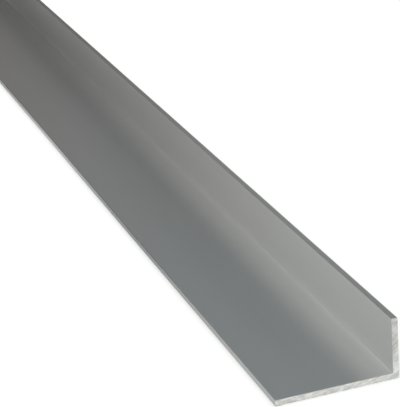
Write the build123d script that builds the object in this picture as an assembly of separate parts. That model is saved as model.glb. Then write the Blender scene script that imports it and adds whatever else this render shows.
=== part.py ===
from build123d import *
import os

# Unequal-leg angle section: one straight length of extruded aluminium, sawn square at both ends.
# The long leg lies flat on the ground, and the short leg stands up along its +X edge.
# The length runs along Y. The origin is the centre of the face that the section rests on.

# Driving dimensions, in millimetres
LONG_LEG = 60.0  # outside width of the leg that lies flat
SHORT_LEG = 30.0  # outside height of the leg that stands up
WALL = 3.0  # thickness of both legs
LENGTH = 1000.0  # sawn length
ROOT_RADIUS = 0.3  # fillet in the inside corner, between the legs
ARRIS_RADIUS = 0.3  # rounding of the heel and of the toe edges

HEEL_X = LONG_LEG / 2  # outside face of the short leg
ROOT = (HEEL_X - WALL, WALL)  # inside corner before it is filleted


def section_outline():
    """The L-shaped outline, across in X and up in Y: two rectangles, with every corner rounded."""
    with BuildSketch() as outline:
        Rectangle(LONG_LEG, WALL, align=(Align.CENTER, Align.MIN))
        with Locations((HEEL_X, 0)):
            Rectangle(WALL, SHORT_LEG, align=(Align.MAX, Align.MIN))
        heel_and_toes = outline.vertices().sort_by_distance(ROOT)[1:]
        fillet(heel_and_toes, ARRIS_RADIUS)
        root = outline.vertices().sort_by_distance(ROOT)[0]
        fillet(root, ROOT_RADIUS)
    return outline.sketch


def angle_section():
    """The outline stood up in the XZ plane and extruded both ways along Y."""
    with BuildPart() as bar:
        with BuildSketch(Plane.XZ):
            add(section_outline())
        extrude(amount=LENGTH / 2, both=True)
    bar.part.label = "angle_section"
    return bar.part


os.makedirs("parts", exist_ok=True)
export_step(angle_section(), "parts/angle_section.step")
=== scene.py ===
import math

import bmesh
import bpy
import numpy as np
from mathutils import Matrix, Vector, noise


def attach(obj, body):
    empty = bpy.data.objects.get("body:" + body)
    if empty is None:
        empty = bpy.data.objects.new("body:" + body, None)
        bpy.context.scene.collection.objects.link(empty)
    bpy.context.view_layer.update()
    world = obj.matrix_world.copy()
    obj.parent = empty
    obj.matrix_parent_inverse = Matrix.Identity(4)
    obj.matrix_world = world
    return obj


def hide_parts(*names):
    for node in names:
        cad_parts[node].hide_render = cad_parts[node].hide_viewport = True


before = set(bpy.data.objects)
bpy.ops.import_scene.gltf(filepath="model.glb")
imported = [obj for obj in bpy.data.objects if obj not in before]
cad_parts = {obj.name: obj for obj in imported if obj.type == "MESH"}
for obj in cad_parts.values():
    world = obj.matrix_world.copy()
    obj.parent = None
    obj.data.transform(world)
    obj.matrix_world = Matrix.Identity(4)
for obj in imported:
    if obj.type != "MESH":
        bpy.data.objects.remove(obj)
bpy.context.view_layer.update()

# ---------------------------------------------------------------- the section, in metres
LONG_LEG = 0.060  # outside width of the leg that lies flat
SHORT_LEG = 0.030  # outside height of the leg that stands up
WALL = 0.003  # thickness of both legs
LENGTH = 1.0
ROOT_RADIUS = 0.0003  # fillet in the inside corner
ARRIS_RADIUS = 0.0003  # rounding of the heel and of the toe edges
HALF = LONG_LEG / 2

# ---------------------------------------------------------------- cells of the mesh
# Across the section the cells are fine at the sawn ends only.
END_CELL = 0.0002
ARC_CELLS = 4  # in each rounded arris
HEEL_CELLS = 15  # on the outside faces at each side of the heel
ROOT_CELLS = ARC_CELLS + 2 * HEEL_CELLS  # in the root fillet, which faces the heel
WALL_CELLS = 15  # through the wall, on an end
END_ROWS = [0.0, 0.00006, 0.00014, 0.00026, 0.00045, 0.0008, 0.0014, 0.0024]  # from the sawn face
JOINING_LENGTH = 0.002  # between the fine rows of an end and the coarser middle
MIDDLE_ROWS = 96
MIDDLE_CELL = 0.003
STRAIGHT_TURN = 1e-6  # two cells that turn less than this, as a sine, run straight on
TINY_GAP = 1e-9  # what rounding may take from a distance
SHARP_ANGLE = 40  # degrees; edges that turn more than this look sharp
FLAT_WEIGHT = 100  # the largest of the faces at an edge decides how it is shaded
SECTION_MAP = "section"  # map with U round the section and V along the length
MILL, SAWN, LONG_TOE, SHORT_TOE = range(4)  # the order of the materials

# ---------------------------------------------------------------- relief of the sawn ends
END_INSET = 0.0001  # the mean sawn face, inside the nominal end
SAW_CENTRE = (-0.020, 0.075)  # where the blade's axis was, in X and Z
SAW_PITCH = 0.00085  # spacing of the blade marks
SAW_DEPTH = 0.000018
SAW_STEADINESS = 0.65  # mean share of the depth; the marks vary by the rest of it
SAW_WANDER = 1.5  # how far the marks wander from true arcs, in radians of their wave
TEAR_DEPTH = 0.00003  # uneven tearing between the marks
TEAR_OCTAVES = 3
BURR_HEIGHT = 0.00005  # burr left along the inside edges
BURR_REACH = 0.0004
BURR_SHARES = (0.22, 0.9, 0.35)  # the steady part, the tufts and the teeth of the burr
BREAK_DEPTH = 0.00005  # broken outside edges
BREAK_REACH = 0.0002
BREAK_STEADINESS = 0.6  # mean share of the depth; the wear varies by the rest of it

# Noise over an end: cells to a metre, and a height in the noise that gives a pattern of its own
MARK_WANDER = (120, 7.0)
MARK_STRENGTH = (400, 3.0)
TEARS = (1400, 11.0)
# Noise along an edge: cells to a metre, a height and a depth in the noise
BURR_TUFTS = (260, 5.0, 1.7)
BURR_TEETH = (1500, 5.0, 8.3)
EDGE_WEAR = (700, 9.0, 4.1)

# ---------------------------------------------------------------- mill finish
MILL_COLOUR = (0.500, 0.509, 0.508)
MILL_ROUGHNESS = 0.32
MILL_ANISOTROPY = 0.80  # light spreads more across the die lines than along them
# Painted shade: both toes are coloured darker than the faces, standing in for the darker reflections
# that they show
LONG_TOE_SHADED_COLOUR = (0.400, 0.403, 0.405)  # painted shade: darker than the faces, for the darker reflections that the toes show
SHORT_TOE_SHADED_COLOUR = (0.302, 0.302, 0.304)
# Patterns: cells to a metre along X, Y and Z
DIE_LINES = (1500, 0.3, 1500)
BANDS = (170, 0.2, 170)
MOTTLING = (38, 9, 38)
SCRATCHES = (4200, 26, 60)
SCRATCH_TURNS = (9, -14, 41)  # degrees between the length and each set of scratches
SCRATCH_PEAKS = (0.81, 0.88)  # a scratch shows where the noise rises from one to the other
# Changes of lightness, and then of roughness
DIE_LINE_SHARES = (0.026, 0.008)
BAND_SHARES = (0.024, 0.010)
MOTTLING_SHARES = (0.020, 0.010)
SCRATCH_SHARES = (0.015, 0.012)
DIE_LINE_HEIGHT = 0.0000002
SCRATCH_DEPTH = 0.3  # times the die lines' height
# Painted light and shade, as soft patches: middle and reach along X, Y and Z, and change of lightness
WHOLE = 100.0  # a reach that takes in the whole part
CORNER = (HALF - WALL, 0.0, WALL)  # where the inside faces meet
# Painted light and shade on the inside faces: lighter near the corner, darker in its fillet, and
# lighter or darker patches along both legs
FACE_PAINTED_LIGHT_AND_SHADE = [
    (CORNER, (0.0024, WHOLE, 0.0024), 0.033),
    (CORNER, (0.0007, WHOLE, 0.0007), -0.060),
    ((0.024, 0.05, WALL), (0.008, 0.20, 0.001), 0.09),
    ((0.021, -0.37, WALL), (0.008, 0.12, 0.001), -0.045),
    ((0.027, -0.45, 0.0045), (0.001, 0.12, 0.002), 0.05),
    ((0.027, 0.20, 0.015), (0.002, 0.17, 0.020), -0.11),
]
# Painted shade: two stretches of the long leg's toe made darker, for the darker reflections there
LONG_TOE_PAINTED_SHADE = [
    ((-HALF, -0.28, 0.0), (WHOLE, 0.12, WHOLE), -0.56),
    ((-HALF, 0.06, 0.0), (WHOLE, 0.115, WHOLE), -0.62),
]

# ---------------------------------------------------------------- finish of the sawn ends
SAWN_COLOUR = (0.668, 0.666, 0.648)
SAWN_ROUGHNESS = 0.5
# Patterns in arcs: cells to a metre of radius, to a radian, and to a metre along the length
SCORING = (3000, 14, 40)
STREAKS = (1250, 24, 9)
BLOTCHES = (420, 9, 420)  # cells to a metre along X, Y and Z
SCORING_LIGHTNESS = 0.25
STREAK_LIGHTNESS = 0.50
BLOTCH_LIGHTNESS = 0.20
STREAK_ROUGHNESS = -0.20
BLOTCH_ROUGHNESS = 0.10
SCORING_HEIGHT = 0.00001
STREAK_HEIGHT = 2.0  # times the scoring's height
DULL_HEIGHTS = (0.001, 0.022)  # the standing leg's sawn face is darker towards its toe
DULL_SHARE = 0.17

# ---------------------------------------------------------------- floor, light and camera
FLOOR_COLOUR = (0.95, 0.95, 0.95)
FLOOR_GLOW = 0.32  # added where the floor itself is seen, so that it shows as white
FLOOR_REACH = 14.0  # from the middle of the part to each side of the floor
FLOOR_GAP = 0.00005  # keeps the floor out of the part's underside
# ROOM_LIGHT, PANELS and SHADES are the rounded result of a least-squares fit by another program,
# and so are CAMERA_PLACE, CAMERA_TURN and LENS below. None of these numbers was set by hand.
ROOM_LIGHT = (0.816, 0.832, 0.811)
# Soft lamp panels: heading from +Y towards +X, height and spread in degrees, and light added
PANELS = [
    (-20.7, 26.7, 10.9, (2.99, 3.06, 2.91)),
    (28.2, 7.2, 8.2, (2.80, 2.95, 2.79)),
]
# Unlit openings and walls: heading, height and spread, and the share of the light they take away
SHADES = [
    (-7.7, 9.4, 13.9, (1.0, 1.0, 1.0)),
    (9.6, 34.4, 12.2, (1.0, 0.915, 0.857)),
    (-7.4, -13.7, 42.8, (0.956, 1.0, 1.0)),
]
SKIRTING = (2.5, 6.5)  # degrees above the floor at which the shades begin and are full
WHITE = (1.0, 1.0, 1.0)
CAMERA_PLACE = (-0.24963, -1.10744, 0.35162)
CAMERA_TURN = (17.559, 21.426, -4.404)  # heading from +Y towards +X, tilt down, and roll, in degrees
LENS = 146.93  # in millimetres, as the sensor is
SENSOR = 36.0
CLIP_START = 0.01
CLIP_END = 100.0


# ---------------------------------------------------------------- the section
def arc(centre, radius, start, end, cells):
    """Points of an arc from start to end, in degrees."""
    turn = np.radians(np.linspace(start, end, cells + 1))
    return np.c_[centre[0] + radius * np.cos(turn), centre[1] + radius * np.sin(turn)]


def line(start, end, cells):
    return np.linspace(start, end, cells + 1)


def joined(*runs):
    """The runs end to end, with each shared point kept once."""
    return np.vstack([runs[0]] + [run[1:] for run in runs[1:]])


def section_sides():
    """The outside and the inside of the L, from the long leg's toe to the short leg's toe.

    Both have the same number of points, so that point k of one faces point k of the other."""
    arris, root = ARRIS_RADIUS, ROOT_RADIUS
    inside_x = HALF - WALL
    root_x, root_z = inside_x - root, WALL + root
    long_cells = round((root_x + HALF - arris) / END_CELL)
    short_cells = round((SHORT_LEG - arris - root_z) / END_CELL)
    outside = joined(
        arc((-HALF + arris, arris), arris, 180, 270, ARC_CELLS),
        line((-HALF + arris, 0), (root_x, 0), long_cells),
        line((root_x, 0), (HALF - arris, 0), HEEL_CELLS),
        arc((HALF - arris, arris), arris, 270, 360, ARC_CELLS),
        line((HALF, arris), (HALF, root_z), HEEL_CELLS),
        line((HALF, root_z), (HALF, SHORT_LEG - arris), short_cells),
        arc((HALF - arris, SHORT_LEG - arris), arris, 0, 90, ARC_CELLS),
    )
    inside = joined(
        arc((-HALF + arris, WALL - arris), arris, 180, 90, ARC_CELLS),
        line((-HALF + arris, WALL), (root_x, WALL), long_cells),
        arc((root_x, root_z), root, -90, 0, ROOT_CELLS),
        line((inside_x, root_z), (inside_x, SHORT_LEG - arris), short_cells),
        arc((inside_x + arris, SHORT_LEG - arris), arris, 180, 90, ARC_CELLS),
    )
    return outside, inside


class Ring:
    """The outline of the section: outside, short toe, inside back again, and long toe.

    A step (k, v) is point k of the sides, v cells of the wall away from the outside."""

    def __init__(self):
        self.outside, self.inside = section_sides()
        self.columns = len(self.outside)
        columns = range(self.columns)
        last = self.columns - 1
        self.steps = [(k, 0) for k in columns]
        self.steps += [(last, v) for v in range(1, WALL_CELLS)]
        self.steps += [(k, WALL_CELLS) for k in reversed(columns)]
        self.steps += [(0, v) for v in reversed(range(1, WALL_CELLS))]
        self.size = len(self.steps)
        self.points = np.array([self.section_point(k, v) for k, v in self.steps])
        self.ahead = np.roll(self.points, -1, axis=0) - self.points
        self.runs = np.hypot(self.ahead[:, 0], self.ahead[:, 1])
        self.around = np.concatenate([[0.0], np.cumsum(self.runs)])  # distance round the section
        self.normals = self.outward_normals()
        self.finishes = self.face_finishes()
        self.kept = self.kept_points()

    def section_point(self, k, v):
        share = v / WALL_CELLS
        return self.outside[k] * (1 - share) + self.inside[k] * share

    def outward_normals(self):
        tangent = self.ahead + (self.points - np.roll(self.points, 1, axis=0))
        tangent /= np.hypot(tangent[:, 0], tangent[:, 1])[:, None]
        return np.c_[tangent[:, 1], -tangent[:, 0]]

    def face_finishes(self):
        """The material of each cell. The toes, with their rounded arrises, have their own, darkened
        with painted shade.
        """
        finishes = []
        for (k, _), (after, _) in zip(self.steps, self.steps[1:] + self.steps[:1]):
            if max(k, after) <= ARC_CELLS:
                finishes.append(LONG_TOE)
            elif min(k, after) >= self.columns - 1 - ARC_CELLS:
                finishes.append(SHORT_TOE)
            else:
                finishes.append(MILL)
        return finishes

    def kept_points(self):
        """The points that stay past the ends: all of the arcs, and a few on the flats."""
        kept = [0]
        for i in range(1, self.size):
            before, after = self.ahead[i - 1], self.ahead[i]
            turn = before[0] * after[1] - before[1] * after[0]
            turning = abs(turn) > STRAIGHT_TURN * self.runs[i - 1] * self.runs[i]
            if turning or self.around[i] - self.around[kept[-1]] > MIDDLE_CELL - TINY_GAP:
                kept.append(i)
        return kept

    def spans(self, kept):
        """Each kept point with the next, and the places of both among the kept points."""
        following = kept[1:] + [self.size]
        return [(a, b, n, (n + 1) % len(kept)) for n, (a, b) in enumerate(zip(kept, following))]


# ---------------------------------------------------------------- relief of the ends
def face_noise(x, z, end, pattern, octave=0):
    """Smooth noise of about -1 to 1 over a sawn face, the same on every run."""
    cells, height = pattern
    scale = 2.0**octave
    return noise.noise(Vector((x * cells * scale, end * height * scale, z * cells * scale)))


def edge_noise(along, end, pattern):
    """Smooth noise of about -1 to 1 along the edges of an end, the same on every run."""
    cells, height, depth = pattern
    return noise.noise(Vector((along * cells, end * height, depth)))


def varying(steadiness, change):
    """The steady share, and the rest of 1 times a change of about -1 to 1."""
    return steadiness + (1 - steadiness) * change


def fading(distance, reach):
    return math.exp(-((distance / reach) ** 2))


def sawn_depth(x, z, end):
    """How far a point of a sawn face lies inside the nominal end."""
    radius = math.hypot(x - SAW_CENTRE[0], z - SAW_CENTRE[1])
    wander = SAW_WANDER * face_noise(x, z, end, MARK_WANDER)
    strength = varying(SAW_STEADINESS, face_noise(x, z, end, MARK_STRENGTH))
    marks = math.sin(2 * math.pi * radius / SAW_PITCH + wander) * strength
    tears = 0.0
    for octave in range(TEAR_OCTAVES):
        tears += 0.5**octave * face_noise(x, z, end, TEARS, octave)
    return END_INSET + SAW_DEPTH * marks + TEAR_DEPTH * tears


def burr(along, end):
    """Height of the burr at a place along an inside edge: mostly low, with a few longer tufts."""
    steady, tufts, teeth = BURR_SHARES
    height = steady + tufts * edge_noise(along, end, BURR_TUFTS)
    height += teeth * edge_noise(along, end, BURR_TEETH)
    return BURR_HEIGHT * min(1.0, max(0.0, height))


def edge_break(along, end):
    """Depth of the wear at a place along an outside edge."""
    return BREAK_DEPTH * varying(BREAK_STEADINESS, edge_noise(along, end, EDGE_WEAR))


# ---------------------------------------------------------------- the mesh
class Bar:
    """The mesh of the bar, gathered as vertices, faces, and a map and a material for each face."""

    def __init__(self, ring):
        self.ring = ring
        self.points, self.faces, self.maps, self.kinds = [], [], [], []

    def add_points(self, points):
        first = len(self.points)
        self.points.extend(points)
        return list(range(first, first + len(points)))

    def add_row(self, kept, y):
        """The kept points of the ring as vertices at one place along the length."""
        return self.add_points([(x, y, z) for x, z in self.ring.points[kept]])

    def add_face(self, corners, places, kind):
        self.faces.append(corners)
        self.maps.append(places)
        self.kinds.append(kind)

    def add_band(self, kept, row, next_row, y, next_y):
        """Four-sided faces all round, between two rows of the kept points."""
        around = self.ring.around
        for a, b, n, m in self.ring.spans(kept):
            corners = [row[n], row[m], next_row[m], next_row[n]]
            places = [(around[a], y), (around[b], y), (around[b], next_y), (around[a], next_y)]
            self.add_face(corners, places, self.ring.finishes[a])

    def add_sawn_face(self, end):
        """One sawn face, as a grid with the saw's relief. Returns the row round its outline."""
        grid = {}
        for k in range(self.ring.columns):
            for v in range(WALL_CELLS + 1):
                x, z = self.ring.section_point(k, v)
                grid[k, v] = (x, end * (LENGTH / 2 - sawn_depth(x, z, end)), z)
        numbers = dict(zip(grid, self.add_points(list(grid.values()))))
        for k in range(self.ring.columns - 1):
            for v in range(WALL_CELLS):
                steps = [(k, v), (k + 1, v), (k + 1, v + 1), (k, v + 1)]
                places = [(grid[step][0], grid[step][2]) for step in steps]
                self.add_face([numbers[step] for step in steps], places, SAWN)
        return [numbers[step] for step in self.ring.steps]

    def wear_edges(self, end, rows):
        """Raise burrs on the inside faces beside a sawn end, and break its outside edges."""
        ring = self.ring
        for distance, row in zip(END_ROWS, rows):
            for i, (k, v) in enumerate(ring.steps):
                if v == WALL_CELLS and ARC_CELLS < k < ring.columns - 1 - ARC_CELLS:
                    push = burr(ring.around[i], end) * fading(distance, BURR_REACH)
                else:
                    push = -edge_break(ring.around[i], end) * fading(distance, BREAK_REACH)
                x, y, z = self.points[row[i]]
                across, up = push * ring.normals[i]
                self.points[row[i]] = (x + across, y, z + up)

    def add_end(self, end):
        """One end: the sawn face and the fine rows beside it. Returns the last of the rows."""
        everything = list(range(self.ring.size))
        rows = [self.add_sawn_face(end)]
        for distance in END_ROWS[1:]:
            rows.append(self.add_row(everything, end * (LENGTH / 2 - END_INSET - distance)))
        self.wear_edges(end, rows)
        levels = [end * (LENGTH / 2 - distance) for distance in END_ROWS]
        for n in range(len(rows) - 1):
            self.add_band(everything, rows[n], rows[n + 1], levels[n], levels[n + 1])
        return rows[-1]

    def add_middle(self, end_rows):
        """The plain length between the ends, and the faces that join it to their fine rows."""
        ring = self.ring
        start = LENGTH / 2 - END_INSET - END_ROWS[-1]
        inner = start - JOINING_LENGTH
        levels = np.linspace(-inner, inner, MIDDLE_ROWS + 1)
        rows = [self.add_row(ring.kept, y) for y in levels]
        for n in range(MIDDLE_ROWS):
            self.add_band(ring.kept, rows[n], rows[n + 1], levels[n], levels[n + 1])
        sides = [(-1, end_rows[0], rows[0], -inner), (1, end_rows[1], rows[-1], inner)]
        for end, fine, row, level in sides:
            for a, b, n, m in ring.spans(ring.kept):
                edge = range(a, b + 1)
                corners = [fine[i % ring.size] for i in edge] + [row[m], row[n]]
                places = [(ring.around[i], end * start) for i in edge]
                places += [(ring.around[b], level), (ring.around[a], level)]
                self.add_face(corners, places, ring.finishes[a])


def make_bar():
    """The whole angle section as one closed piece: smooth arrises and fillet, flat faces, sawn ends."""
    bar = Bar(Ring())
    bar.add_middle([bar.add_end(-1), bar.add_end(1)])
    mesh = bpy.data.meshes.new("angle_section_bar")
    mesh.from_pydata(bar.points, [], bar.faces)
    layer = mesh.uv_layers.new(name=SECTION_MAP)
    places = [place for face in bar.maps for place in face]
    layer.uv.foreach_set("vector", np.array(places, float).ravel())
    mesh.polygons.foreach_set("material_index", bar.kinds)
    work = bmesh.new()
    work.from_mesh(mesh)
    bmesh.ops.recalc_face_normals(work, faces=work.faces)
    work.to_mesh(mesh)
    work.free()
    mesh.shade_smooth()
    mesh.set_sharp_from_angle(angle=math.radians(SHARP_ANGLE))
    piece = bpy.data.objects.new("angle_section_bar", mesh)
    bpy.context.scene.collection.objects.link(piece)
    flats = piece.modifiers.new("flat faces shade flat", "WEIGHTED_NORMAL")
    flats.keep_sharp = True
    flats.weight = FLAT_WEIGHT
    mesh.materials.append(mill_finish("mill_finish", MILL_COLOUR, FACE_PAINTED_LIGHT_AND_SHADE))
    mesh.materials.append(sawn_finish())
    mesh.materials.append(mill_finish("long_toe_painted_shade", LONG_TOE_SHADED_COLOUR, LONG_TOE_PAINTED_SHADE))
    mesh.materials.append(mill_finish("short_toe_painted_shade", SHORT_TOE_SHADED_COLOUR, []))
    return piece


# ---------------------------------------------------------------- materials
class Graph:
    """A node tree that is written as formulas: most methods return the socket of their result."""

    def __init__(self, tree):
        tree.nodes.clear()
        self.tree = tree

    def node(self, kind, **settings):
        made = self.tree.nodes.new(kind)
        for name, value in settings.items():
            setattr(made, name, value)
        return made

    def feed(self, socket, value):
        if isinstance(value, bpy.types.NodeSocket):
            self.tree.links.new(value, socket)
        else:
            socket.default_value = value

    def maths(self, operation, *values):
        made = self.node("ShaderNodeMath", operation=operation)
        for socket, value in zip(made.inputs, values):
            self.feed(socket, value)
        return made.outputs[0]

    def total(self, *values):
        result = values[0]
        for value in values[1:]:
            result = self.maths("ADD", result, value)
        return result

    def product(self, *values):
        result = values[0]
        for value in values[1:]:
            result = self.maths("MULTIPLY", result, value)
        return result

    def vector(self, operation, first, second):
        made = self.node("ShaderNodeVectorMath", operation=operation)
        self.feed(made.inputs[0], first)
        self.feed(made.inputs[1], second)
        return made.outputs["Value" if operation == "DOT_PRODUCT" else "Vector"]

    def parts(self, place):
        """The X, Y and Z of a place, by name."""
        made = self.node("ShaderNodeSeparateXYZ")
        self.feed(made.inputs[0], place)
        return made.outputs

    def turned(self, place, degrees):
        """A place turned about Z."""
        made = self.node("ShaderNodeVectorRotate", rotation_type="Z_AXIS")
        self.feed(made.inputs["Vector"], place)
        made.inputs["Angle"].default_value = math.radians(degrees)
        return made.outputs[0]

    def noise(self, place, cells, detail=2.0, roughness=0.5):
        """Smooth noise of about 0 to 1, with so many cells to a unit of the place along each axis."""
        made = self.node("ShaderNodeTexNoise")
        self.feed(made.inputs["Vector"], self.vector("MULTIPLY", place, cells))
        made.inputs["Scale"].default_value = 1.0
        made.inputs["Detail"].default_value = detail
        made.inputs["Roughness"].default_value = roughness
        return made.outputs["Fac"]

    def centred(self, value, amount):
        """A 0-to-1 value as a variation of plus or minus the amount."""
        return self.product(self.maths("SUBTRACT", value, 0.5), 2 * amount)

    def falloff(self, square):
        """1 where the square of a distance is 0, falling softly to 0 past a square of 1."""
        return self.maths("EXPONENT", self.product(square, -1.0))

    def near(self, place, middle, reach):
        """1 where the place is at the middle, falling softly to 0 past the reach along each axis."""
        apart = self.vector("DIVIDE", self.vector("SUBTRACT", place, middle), reach)
        return self.falloff(self.vector("DOT_PRODUCT", apart, apart))

    def rising(self, value, low, high, height):
        """0 below low, rising to height at high."""
        ramp = self.node("ShaderNodeMapRange", interpolation_type="SMOOTHSTEP")
        self.feed(ramp.inputs["Value"], value)
        for name, amount in (("From Min", low), ("From Max", high), ("To Max", height)):
            ramp.inputs[name].default_value = amount
        return ramp.outputs["Result"]

    def tinted(self, colour, factor):
        """A colour made lighter or darker by a factor."""
        made = self.node("ShaderNodeVectorMath", operation="SCALE")
        made.inputs[0].default_value = colour
        self.feed(made.inputs["Scale"], factor)
        return made.outputs[0]

    def bump(self, height, distance):
        made = self.node("ShaderNodeBump")
        made.inputs["Distance"].default_value = distance
        self.feed(made.inputs["Height"], height)
        return made.outputs["Normal"]


def new_material(name):
    material = bpy.data.materials.new(name)
    material.use_nodes = True
    return material, Graph(material.node_tree)


def new_metal(name):
    """A metal, with its graph, its shader and the place in the part that its patterns follow."""
    material, graph = new_material(name)
    shader = graph.node("ShaderNodeBsdfPrincipled")
    shader.inputs["Metallic"].default_value = 1.0
    output = graph.node("ShaderNodeOutputMaterial")
    graph.feed(output.inputs["Surface"], shader.outputs["BSDF"])
    place = graph.node("ShaderNodeTexCoord").outputs["Object"]
    return material, graph, shader, place


def mill_finish(name, colour, painted_light_and_shade):
    """Extruded aluminium as it leaves the die: fine lines along the length, a grey satin sheen, and the
    painted light and shade that it is given.
    """
    material, graph, shader, place = new_metal(name)
    die_lines = graph.noise(place, DIE_LINES, detail=3.0, roughness=0.6)
    bands = graph.noise(place, BANDS)
    mottling = graph.noise(place, MOTTLING, detail=3.0)
    scratches = []
    for turn in SCRATCH_TURNS:
        lines = graph.noise(graph.turned(place, turn), SCRATCHES, detail=0.0)
        scratches.append(graph.rising(lines, *SCRATCH_PEAKS, 1.0))
    scratch = graph.total(*scratches)

    def varied(value, kind):
        """The value with the lightness (0) or roughness (1) of every pattern added."""
        return graph.total(
            value,
            graph.centred(bands, BAND_SHARES[kind]),
            graph.centred(die_lines, DIE_LINE_SHARES[kind]),
            graph.centred(mottling, MOTTLING_SHARES[kind]),
            graph.product(scratch, SCRATCH_SHARES[kind]),
        )

    lightness = varied(1.0, 0)
    # Painted light and shade: patches of the faces made lighter or darker
    for middle, reach, change in painted_light_and_shade:
        lightness = graph.total(lightness, graph.product(graph.near(place, middle, reach), change))
    graph.feed(shader.inputs["Base Color"], graph.tinted(colour, lightness))
    graph.feed(shader.inputs["Roughness"], varied(MILL_ROUGHNESS, 1))
    height = graph.total(die_lines, graph.product(scratch, -SCRATCH_DEPTH))
    graph.feed(shader.inputs["Normal"], graph.bump(height, DIE_LINE_HEIGHT))
    tangent = graph.node("ShaderNodeTangent", direction_type="UV_MAP", uv_map=SECTION_MAP)
    graph.feed(shader.inputs["Tangent"], tangent.outputs["Tangent"])
    shader.inputs["Anisotropic"].default_value = MILL_ANISOTROPY
    return material


def sawn_finish():
    """The cut ends: brighter, rougher metal, scored in arcs round the axis of the blade."""
    material, graph, shader, place = new_metal("sawn_finish")
    parts = graph.parts(place)
    across = graph.maths("SUBTRACT", parts["X"], SAW_CENTRE[0])
    above = graph.maths("SUBTRACT", parts["Z"], SAW_CENTRE[1])
    squares = graph.total(graph.product(across, across), graph.product(above, above))
    arcs = graph.node("ShaderNodeCombineXYZ")
    graph.feed(arcs.inputs["X"], graph.maths("SQRT", squares))
    graph.feed(arcs.inputs["Y"], graph.maths("ARCTAN2", above, across))
    graph.feed(arcs.inputs["Z"], parts["Y"])
    scoring = graph.noise(arcs.outputs[0], SCORING)
    streaks = graph.noise(arcs.outputs[0], STREAKS, detail=3.0)
    blotches = graph.noise(place, BLOTCHES, detail=3.0, roughness=0.6)
    lightness = graph.total(
        1.0,
        graph.centred(scoring, SCORING_LIGHTNESS),
        graph.centred(streaks, STREAK_LIGHTNESS),
        graph.centred(blotches, BLOTCH_LIGHTNESS),
        graph.rising(parts["Z"], *DULL_HEIGHTS, -DULL_SHARE),
    )
    graph.feed(shader.inputs["Base Color"], graph.tinted(SAWN_COLOUR, lightness))
    roughness = graph.total(
        SAWN_ROUGHNESS,
        graph.centred(streaks, STREAK_ROUGHNESS),
        graph.centred(blotches, BLOTCH_ROUGHNESS),
    )
    graph.feed(shader.inputs["Roughness"], roughness)
    height = graph.total(scoring, graph.product(streaks, STREAK_HEIGHT))
    graph.feed(shader.inputs["Normal"], graph.bump(height, SCORING_HEIGHT))
    return material


def floor_finish():
    """Plain white paper. The added light shows only where the floor itself is looked at."""
    material, graph = new_material("floor_finish")
    paper = graph.node("ShaderNodeBsdfDiffuse")
    paper.inputs["Color"].default_value = (*FLOOR_COLOUR, 1.0)
    path = graph.node("ShaderNodeLightPath").outputs
    seen = graph.maths("MAXIMUM", path["Is Camera Ray"], path["Is Glossy Ray"])
    seen = graph.maths("MAXIMUM", seen, path["Is Transmission Ray"])
    glow = graph.node("ShaderNodeEmission")
    graph.feed(glow.inputs["Strength"], graph.product(seen, FLOOR_GLOW))
    both = graph.node("ShaderNodeAddShader")
    graph.feed(both.inputs[0], paper.outputs[0])
    graph.feed(both.inputs[1], glow.outputs[0])
    output = graph.node("ShaderNodeOutputMaterial")
    graph.feed(output.inputs["Surface"], both.outputs[0])
    return material


# ---------------------------------------------------------------- floor, light and camera
def make_floor():
    reach = FLOOR_REACH
    mesh = bpy.data.meshes.new("floor")
    corners = [(-reach, -reach, 0), (reach, -reach, 0), (reach, reach, 0), (-reach, reach, 0)]
    mesh.from_pydata(corners, [], [(0, 1, 2, 3)])
    mesh.materials.append(floor_finish())
    floor = bpy.data.objects.new("floor", mesh)
    floor.location.z = -FLOOR_GAP
    bpy.context.scene.collection.objects.link(floor)


def make_world():
    """A pale room of even light, with two soft panels and, ahead of the camera, unlit areas."""
    world = bpy.data.worlds.new("studio")
    bpy.context.scene.world = world
    world.use_nodes = True
    graph = Graph(world.node_tree)
    direction = graph.node("ShaderNodeTexCoord").outputs["Generated"]

    def area(heading, height, spread):
        """1 in the middle of a round area of the room, falling softly to 0 past its spread."""
        heading, height, spread = map(math.radians, (heading, height, spread))
        level = math.cos(height)
        middle = (math.sin(heading) * level, math.cos(heading) * level, math.sin(height))
        aligned = graph.vector("DOT_PRODUCT", direction, middle)
        apart = graph.maths("DIVIDE", graph.maths("SUBTRACT", aligned, 1.0), spread**2 / 2)
        return graph.falloff(graph.product(apart, apart))

    low, high = (math.sin(math.radians(angle)) for angle in SKIRTING)
    above = graph.rising(graph.parts(direction)["Z"], low, high, 1.0)
    light = ROOM_LIGHT
    for *place, colour in PANELS:
        light = graph.vector("ADD", light, graph.tinted(colour, area(*place)))
    for *place, colour in SHADES:
        taken = graph.tinted(colour, graph.product(area(*place), above))
        light = graph.vector("MULTIPLY", light, graph.vector("SUBTRACT", WHITE, taken))
    sky = graph.node("ShaderNodeBackground")
    graph.feed(sky.inputs["Color"], light)
    output = graph.node("ShaderNodeOutputWorld")
    graph.feed(output.inputs["Surface"], sky.outputs[0])


def make_camera():
    camera = bpy.data.cameras.new("camera")
    camera.sensor_width = SENSOR
    camera.lens = LENS
    camera.clip_start = CLIP_START
    camera.clip_end = CLIP_END
    holder = bpy.data.objects.new("camera", camera)
    heading, tilt, roll = (math.radians(angle) for angle in CAMERA_TURN)
    turn = Matrix.Rotation(-heading, 4, "Z") @ Matrix.Rotation(math.pi / 2 - tilt, 4, "X")
    turn = turn @ Matrix.Rotation(roll, 4, "Z")
    holder.matrix_world = Matrix.Translation(CAMERA_PLACE) @ turn
    bpy.context.scene.collection.objects.link(holder)
    bpy.context.scene.camera = holder


piece = make_bar()
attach(piece, "root")
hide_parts("angle_section")
make_floor()
make_world()
make_camera()
bpy.context.scene.view_settings.view_transform = "Standard"
